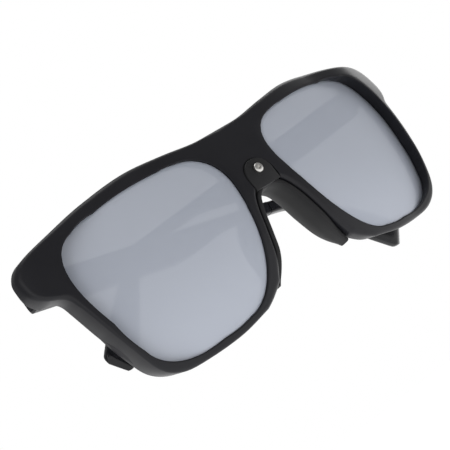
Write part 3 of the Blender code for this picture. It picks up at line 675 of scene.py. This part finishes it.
def lens_blank(name, side):
    eye = polar(EYE, (LENS_X, 0.0))
    steps = 180
    half = LENS_THICK / 2
    layers = [(share, -half) for share in LENS_RINGS] + [(1.0, -half + 0.15), (1.0, half - 0.15)]
    layers += [(share, half) for share in LENS_RINGS[::-1]]
    bm = bmesh.new()
    rings = []
    for share, y in layers:
        ring = []
        for k in range(steps):
            a = 2 * math.pi * k / steps
            r = share * (reach(eye, a) + LENS_SINK)
            ring.append(Vector((LENS_X + r * math.cos(a), y, r * math.sin(a))))
        rings.append(ring)
    rows = skin(bm, rings, cap=False)
    for row, y in ((rows[0], -half), (rows[-1], half)):
        middle = bm.verts.new(Vector((LENS_X, y, 0.0)))
        for k in range(steps):
            bm.faces.new((row[k], row[(k + 1) % steps], middle))
    return mesh_object(name, bm, side)


for side_name, side in SIDES.items():
    lens = lens_blank("mirror_lens_" + side_name, side)
    lens_tree.run(lens, {"Middle X": LENS_X * MM, "Radius": LENS_CURVE * MM, "Wrap": LENS_WRAP,
                         "Height Datum": -DATUM.z * MM, "Material": silver.material})
    dress(lens, silver, "front", ["lens_" + side_name])

# %% [markdown]
# The nose piece is one rubber moulding: a saddle that wraps under the bridge, two pads that splay
# along the nose, and a flat tab in front with the screw through it. The strip is lofted along the
# nose line of the front, a fixed gap inside it, and the tab is joined to it.

# %% Nose piece
NOSE_REAR = [4.8, 5.2, 6.0, 7.6, 8.6, 7.6, 5.0]
NOSE_SPLAY = [0.4, 0.6, 1.2, 2.2, 2.6, 2.0, 0.8]


def nose_line():
    outline = through_curve(FRONT_EDGE[NOSE_EDGE_FROM:], NOSE_STEPS)[::-1]
    line = []
    for i, p in enumerate(outline):
        before = outline[i - 1] if i else Vector((-outline[1].x, outline[1].y))
        along = (outline[min(i + 1, len(outline) - 1)] - before).normalized()
        line.append(p + Vector((along.y, -along.x)) * (SEAT_GAP + NOSE_THICK / 2))
    line[0].x = 0.0
    return line


def nose_ring(p, out, t):
    """Closed cross-section of the strip at one point of the nose line."""
    rear, splay = through_value(NOSE_REAR, t), through_value(NOSE_SPLAY, t)
    shrink = 1.0 - 0.35 * smooth(t, 0.9, 1.0)
    front_edge = -3.3 + front_y(p.x, p.y) - front_y(0.0, 0.0) + 2.0 * smooth(t, 0.75, 1.0)
    clear = back_y(p.x, p.y) + SEAT_GAP + 0.9
    spine = [(0.0, front_edge), (0.0, front_edge + 0.12), (0.0, front_edge + 0.5),
             (0.0, 0.5 * (front_edge + clear)), (0.0, clear)]
    for k in (0.18, 0.35, 0.52, 0.7, 0.84, 0.95, 1.0):
        spine.append((splay * k ** 1.6, clear + (max(rear, clear + 0.8) - clear) * k))
    round_off = [0.3, 0.75] + [1.0] * (len(spine) - 4) + [0.8, 0.35]
    outside, inside = [], []
    for j, (o, y) in enumerate(spine):
        d = (Vector(spine[min(len(spine) - 1, j + 1)]) - Vector(spine[max(0, j - 1)])).normalized()
        w = NOSE_THICK / 2 * shrink * round_off[j]
        outside.append((o + d.y * w, y - d.x * w))
        inside.append((o - d.y * w, y + d.x * w))
    return [Vector((p.x + out.x * o, y, p.y + out.y * o)) for o, y in outside + inside[::-1]]


def nose_piece():
    half = nose_line()
    path = [Vector((-p.x, p.y)) for p in half[:0:-1]] + half
    count = len(path)
    rings = []
    for i, p in enumerate(path):
        along = (path[min(count - 1, i + 1)] - path[max(0, i - 1)]).normalized()
        rings.append(nose_ring(p, Vector((-along.y, along.x)), abs(2 * i / (count - 1) - 1)))
    bm = bmesh.new()
    skin(bm, rings)
    obj = mesh_object("nose_rubber", bm)
    cut(obj, [tab_solid("tab_tool", 0.0)], "UNION")
    cut(obj, [rod_along_y("hole_tool", 0.75, TAB_FRONT - 1.0, TAB_FRONT + TAB_THICK + 1.0)])
    return obj


nose = nose_piece()
dress(nose, rubber, "front", ["nose_piece"])

# %% [markdown]
# Each arm is a long tapering moulding on its own hinge frame: flat inside, waisted before the ear and
# hooked down at its end. Both arms are one shape, mirrored, then turned to where they lie folded. The
# hinge frame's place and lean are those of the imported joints, so the arm opens about the real axis.

# %% Hinge frames
AXIS_CANT = math.radians(2.7)
FOLD = {"right": math.radians(-85.5), "left": math.radians(91.0)}
HINGE, CARRIER = {}, {}
for side_name, side in SIDES.items():
    spot = (Vector((side * AXIS.x, AXIS.y, AXIS.z)) - DATUM) * MM
    HINGE[side_name] = Matrix.Translation(spot) @ Matrix.Rotation(AXIS_CANT, 4, "Y")
    CARRIER[side_name] = HINGE[side_name] @ Matrix.Rotation(FOLD[side_name], 4, "Z")
    print(side_name, "hinge at", [round(v, 4) for v in spot])

# %% Arm sections
ARM_LENGTH = 136.0
TIP_JOIN = 89.5
ARM_START = -0.5
WIRE_BORE = 0.7


def arm_path():
    rows = []
    y, z = ARM_START, 4.3
    for k in range(int(round((ARM_LENGTH - ARM_START) * 2)) + 2):
        s = ARM_START + k / 2
        fall = math.radians(7.0 + 36.0 * smooth(s, 92.0, 106.0))
        rows.append((y, z, fall))
        y += 0.5 * math.cos(fall)
        z -= 0.5 * math.sin(fall)
    return rows


def arm_section(path, s, shrink=0.0, power=6.0, points=48, radius=None):
    place = min((s - ARM_START) * 2, len(path) - 1.001)
    i, part = int(place), place % 1.0
    y, z, fall = [a + (b - a) * part for a, b in zip(path[i], path[i + 1])]
    flare = 5.0 * smooth(s, 98.0, 129.0)
    high = 8.6 - 5.0 * smooth(s, 50.0, 76.0) + flare
    thick = 4.0 - 0.8 * smooth(s, 20.0, 90.0)
    lean = fall * smooth(s, ARM_START, 20.0)
    down = Vector((0.0, -math.sin(lean), -math.cos(lean)))
    curl = -2.5 * smooth(s, 92.0, ARM_LENGTH)
    middle = Vector((2.0 + thick / 2 + curl, y, z)) + down * (high / 2 - flare / 2)
    ring = []
    for k in range(points):
        a = 2 * math.pi * (k + 0.5) / points
        cos, sin = math.cos(a), math.sin(a)
        if radius is None:
            u = math.copysign(abs(cos) ** (2 / power), cos) * (thick / 2 - shrink)
            v = math.copysign(abs(sin) ** (2 / power), sin) * (high / 2 - shrink)
        else:
            u, v = radius * cos, radius * sin
        ring.append(middle + Vector((u, 0.0, 0.0)) - down * v)
    return ring


def spread(start, end, step):
    count = max(2, int(round((end - start) / step)))
    return [start + (end - start) * k / count for k in range(count + 1)]


PATH = arm_path()
print("arm reaches", round(PATH[-1][0], 1), "back and", round(PATH[-1][1], 1), "down")

# %% Arms and ear tips


def sleeve(name, outer, bore, open_first, side, place):
    """A lofted bar with a blind bore that opens at its first or last ring."""
    bm = bmesh.new()
    rows = skin(bm, outer, cap=False)
    inner = skin(bm, bore, cap=False)
    mouth, back = (rows[0], rows[-1]) if open_first else (rows[-1], rows[0])
    lip, bottom = (inner[0], inner[-1]) if open_first else (inner[-1], inner[0])
    bm.faces.new(back)
    bm.faces.new(bottom)
    for i in range(len(mouth)):
        j = (i + 1) % len(mouth)
        bm.faces.new((mouth[i], mouth[j], lip[j], lip[i]))
    return mesh_object(name, bm, side, place)


for side_name, side in SIDES.items():
    end = ARM_START + round(TIP_JOIN - ARM_START)
    outer = [arm_section(PATH, ARM_START + 0.5 * k, 0.5 * (1 - k)) for k in (0.0, 1.0)]
    outer += [arm_section(PATH, s) for s in spread(ARM_START + 1.0, end, 1.5)]
    bore = [arm_section(PATH, s, radius=WIRE_BORE) for s in spread(61.0, end, 2.0)]
    bar = sleeve("arm_bar_" + side_name, outer, bore, False, side, CARRIER[side_name])
    dress(bar, satin, side_name + "_arm", ["arm_" + side_name])

    start = TIP_JOIN + SEAT_GAP
    outer = [arm_section(PATH, s, power=4.0) for s in spread(start, ARM_LENGTH - 3.5, 1.0)]
    outer += [arm_section(PATH, ARM_LENGTH - 2.5 + 2.5 * k, 1.5 * k ** 2.2, 4.0 - k)
              for k in (0.2, 0.4, 0.6, 0.8, 1.0)]
    bore = [arm_section(PATH, s, radius=WIRE_BORE) for s in spread(start, 129.0, 1.5)]
    tip = sleeve("hooked_tip_" + side_name, outer, bore, True, side, CARRIER[side_name])
    dress(tip, gloss, side_name + "_arm", ["ear_tip_" + side_name])

# %% [markdown]
# The small screws repeat, so Geometry Nodes make them. One tree turns a cylinder into a screw: the
# radius follows the height, domed over the head and thin along the shank, and a hexagonal drive is
# cut into the head. It is placed on points that carry their own turn, one set of points for a body.

# %% Screw tree
SCREW_INPUTS = {"Head Radius": 0, "Head Height": 0, "Shank Radius": 0, "Shank Length": 0,
                "Drive Radius": 0, "Drive Depth": 0, "Material": None}
screw_tree = Tree("drive_screw", SCREW_INPUTS)


def stacked_head(tree):
    """Domed head from cylinders of falling radius, joined to a shank."""
    head_r, head_h = tree.given("Head Radius"), tree.given("Head Height")
    long = tree.given("Shank Length")
    blank = tree.node("GeometryNodeMeshCylinder", {"fill_type": "NGON"},
                      {"Vertices": 40, "Side Segments": 8, "Radius": head_r, "Depth": head_h})
    parts = tree.group.nodes.new("ShaderNodeSeparateXYZ")
    tree.group.links.new(tree.node("GeometryNodeInputPosition", {}, {}), parts.inputs[0])
    rise = tree.maths("ADD", tree.maths("DIVIDE", parts.outputs[2], head_h), 0.5)
    dome = tree.maths("SUBTRACT", 1.0, tree.maths("MULTIPLY", tree.maths("POWER", rise, 6.0), 0.16))
    scale = tree.node("ShaderNodeCombineXYZ", {}, {0: dome, 1: dome, 2: 1.0})
    place = tree.node("ShaderNodeVectorMath", {"operation": "MULTIPLY"},
                      {0: tree.node("GeometryNodeInputPosition", {}, {}), 1: scale})
    domed = tree.node("GeometryNodeSetPosition", {}, {"Geometry": blank, "Position": place})
    lift = tree.node("ShaderNodeCombineXYZ", {}, {2: tree.maths("MULTIPLY", head_h, 0.5)})
    head = tree.node("GeometryNodeTransform", {}, {"Geometry": domed, "Translation": lift})
    shank = tree.node("GeometryNodeMeshCylinder", {"fill_type": "NGON"},
                      {"Vertices": 24, "Radius": tree.given("Shank Radius"),
                       "Depth": tree.maths("ADD", long, 0.0002)})
    drop = tree.maths("SUBTRACT", 0.0001, tree.maths("MULTIPLY", long, 0.5))
    sunk = tree.node("GeometryNodeTransform", {},
                     {"Geometry": shank,
                      "Translation": tree.node("ShaderNodeCombineXYZ", {}, {2: drop})})
    union = tree.group.nodes.new("GeometryNodeMeshBoolean")
    union.operation = "UNION"
    union.solver = "EXACT"
    tree.group.links.new(head, union.inputs[1])
    tree.group.links.new(sunk, union.inputs[1])
    return union.outputs[0]


def cut_drive(tree, solid):
    depth = tree.given("Drive Depth")
    key = tree.node("GeometryNodeMeshCylinder", {"fill_type": "NGON"},
                    {"Vertices": 6, "Radius": tree.given("Drive Radius"),
                     "Depth": tree.maths("MULTIPLY", depth, 2.0)})
    top = tree.node("ShaderNodeCombineXYZ", {}, {2: tree.given("Head Height")})
    raised = tree.node("GeometryNodeTransform", {}, {"Geometry": key, "Translation": top})
    less = tree.group.nodes.new("GeometryNodeMeshBoolean")
    less.operation = "DIFFERENCE"
    less.solver = "EXACT"
    tree.group.links.new(solid, less.inputs[0])
    tree.group.links.new(raised, less.inputs[1])
    return less.outputs[0]


one = cut_drive(screw_tree, stacked_head(screw_tree))
turn = screw_tree.node("GeometryNodeInputNamedAttribute", {"data_type": "FLOAT_VECTOR"},
                       {"Name": "turn"})
spin = screw_tree.node("FunctionNodeEulerToRotation", {}, {0: turn})
many = screw_tree.node("GeometryNodeInstanceOnPoints", {},
                       {"Points": screw_tree.given("Geometry"), "Instance": one, "Rotation": spin})
screw_tree.close(many, screw_tree.given("Material"))
print("screw tree", len(screw_tree.group.nodes), "nodes")

# %% Screws


def screw_set(name, spots, sizes, body, nodes):
    """Screws of one size on one body; each spot is its seat and the way its head faces."""
    mesh = bpy.data.meshes.new(name)
    mesh.from_pydata([seat for seat, _ in spots], [], [])
    turns = mesh.attributes.new("turn", "FLOAT_VECTOR", "POINT")
    for item, (_, facing) in zip(turns.data, spots):
        item.vector = facing.to_track_quat("Z", "Y").to_euler()
    obj = bpy.data.objects.new(name, mesh)
    bpy.context.collection.objects.link(obj)
    head_r, head_h, shank_r, long, drive_r, drive_d = [v * MM for v in sizes]
    screw_tree.run(obj, {"Head Radius": head_r, "Head Height": head_h, "Shank Radius": shank_r,
                         "Shank Length": long, "Drive Radius": drive_r, "Drive Depth": drive_d,
                         "Material": steel.material})
    dress(obj, steel, body, nodes, 40.0)
    return obj


def hinge_spot(place, side, point, facing):
    """A seat and a direction given in the hinge frame of the left side, moved into the frame."""
    seat = place @ (Vector((side * point[0], point[1], point[2])) * MM)
    return seat, (place.to_3x3() @ Vector((side * facing[0], facing[1], facing[2]))).normalized()


SMALL = (0.95, 0.5, 0.5, 2.4, 0.42, 0.3)
PIN = (1.25, 0.7, 0.6, 6.6, 0.55, 0.4)
NOSE = (1.4, 0.8, 0.65, 3.6, 0.62, 0.55)
leaf_spots, leaf_nodes, pin_spots, pin_nodes = [], [], [], []
for side_name, side in SIDES.items():
    for level, z in (("lower", -4.3), ("upper", 4.3)):
        leaf_spots.append(hinge_spot(HINGE[side_name], side, (0, -1.85, z), (0, 1, 0)))
        leaf_nodes.append("front_leaf_screw_%s_%s" % (side_name, level))
    pin_spots.append(hinge_spot(HINGE[side_name], side, (0, 0, 3.35), (0, 0, 1)))
    pin_nodes.append("hinge_screw_" + side_name)
    arm_spots = [hinge_spot(CARRIER[side_name], side, (0.95, s, 0), (-1, 0, 0)) for s in (4.6, 9.4)]
    screw_set("arm_screws_" + side_name, arm_spots, SMALL, side_name + "_arm",
              ["arm_leaf_screw_%s_%s" % (side_name, e) for e in ("front", "rear")])
screw_set("front_leaf_screws", leaf_spots, SMALL, "front", leaf_nodes)
screw_set("hinge_pins", pin_spots, PIN, "front", pin_nodes)
nose_seat = (Vector((0.0, TAB_FRONT - 0.1, NOSE_SCREW_Z)) - DATUM) * MM
screw_set("nose_cap_screw", [(nose_seat, Vector((0, -1, 0)))], NOSE, "front", ["nose_screw"])

# %% [markdown]
# The hinge leaves, the wires and the insert are right as they are packed, so they stay and only get
# their finish.

# %% Finishes of the carried pieces
for node_name, obj in frame["nodes"].items():
    if obj.hide_render:
        continue
    finish = brass if node_name == "nose_screw_insert" else steel
    for material_slot in obj.material_slots:
        material_slot.material = finish.material
    print("carried", node_name)

# %% [markdown]
# The glasses are shown as in a product studio: a pale floor, a white surround, soft boxes from above
# and from the sides, and a long lens near the level of the glasses.

# %% Floor and surround
floor_mesh = bpy.data.meshes.new("studio_floor")
FLOOR = (6.0, -0.045)
floor_mesh.from_pydata([(x * FLOOR[0], y * FLOOR[0], FLOOR[1])
                        for x, y in ((-1, -1), (1, -1), (1, 1), (-1, 1))], [], [(0, 1, 2, 3)])
floor = bpy.data.objects.new("studio_floor", floor_mesh)
bpy.context.collection.objects.link(floor)
pale = Finish("pale_floor", (0.92, 0.92, 0.92), 0.8, Emission_Color=(1, 1, 1, 1),
              Emission_Strength=0.75)
floor_mesh.materials.append(pale.material)

world = bpy.data.worlds.new("white_studio")
world.use_nodes = True
bpy.context.scene.world = world
sky = world.node_tree
background = sky.nodes["Background"]
seen = sky.nodes.new("ShaderNodeLightPath")
strength = sky.nodes.new("ShaderNodeMapRange")
strength.inputs["To Min"].default_value = 0.34
strength.inputs["To Max"].default_value = 1.0
sky.links.new(seen.outputs["Is Camera Ray"], strength.inputs["Value"])
sky.links.new(strength.outputs["Result"], background.inputs["Strength"])
background.inputs["Color"].default_value = (1.0, 1.0, 1.0, 1.0)
bpy.context.scene.view_settings.view_transform = "Standard"
print("floor", FLOOR)

# %% Lights


def soft_box(name, spot, aim, size, watts):
    data = bpy.data.lights.new(name, "AREA")
    data.shape = "RECTANGLE"
    data.size, data.size_y = size
    data.energy = watts
    lamp = bpy.data.objects.new(name, data)
    lamp.location = spot
    lamp.rotation_mode = "QUATERNION"
    lamp.rotation_quaternion = (Vector(aim) - Vector(spot)).to_track_quat("-Z", "Y")
    bpy.context.collection.objects.link(lamp)


soft_box("top_box", (0.05, -0.05, 0.75), (0, 0, 0.02), (0.6, 0.5), 2.2)
soft_box("left_box", (-0.75, -0.35, 0.3), (0, 0, 0.02), (0.3, 0.6), 1.1)
soft_box("rim_box", (0.7, 0.25, 0.35), (0, 0, 0.02), (0.3, 0.6), 1.1)
print("three soft boxes")

# %% Camera
CAMERA_AT = (Vector((-347.906, -395.229, -61.444)) - DATUM) * MM
RIGHT = Vector((0.654173, -0.450562, -0.607496))
DOWN = Vector((-0.408317, 0.465719, -0.785101))
AHEAD = Vector((0.636659, 0.761642, 0.120689))
camera_data = bpy.data.cameras.new("camera")
camera_data.sensor_width = 36.0
camera_data.lens = 159.754
camera_data.clip_start = 0.01
camera = bpy.data.objects.new("camera", camera_data)
basis = Matrix((RIGHT, -DOWN, -AHEAD)).transposed()
camera.matrix_world = Matrix.Translation(CAMERA_AT) @ basis.to_4x4()
bpy.context.collection.objects.link(camera)
bpy.context.scene.camera = camera
print("camera", [round(v, 4) for v in CAMERA_AT])
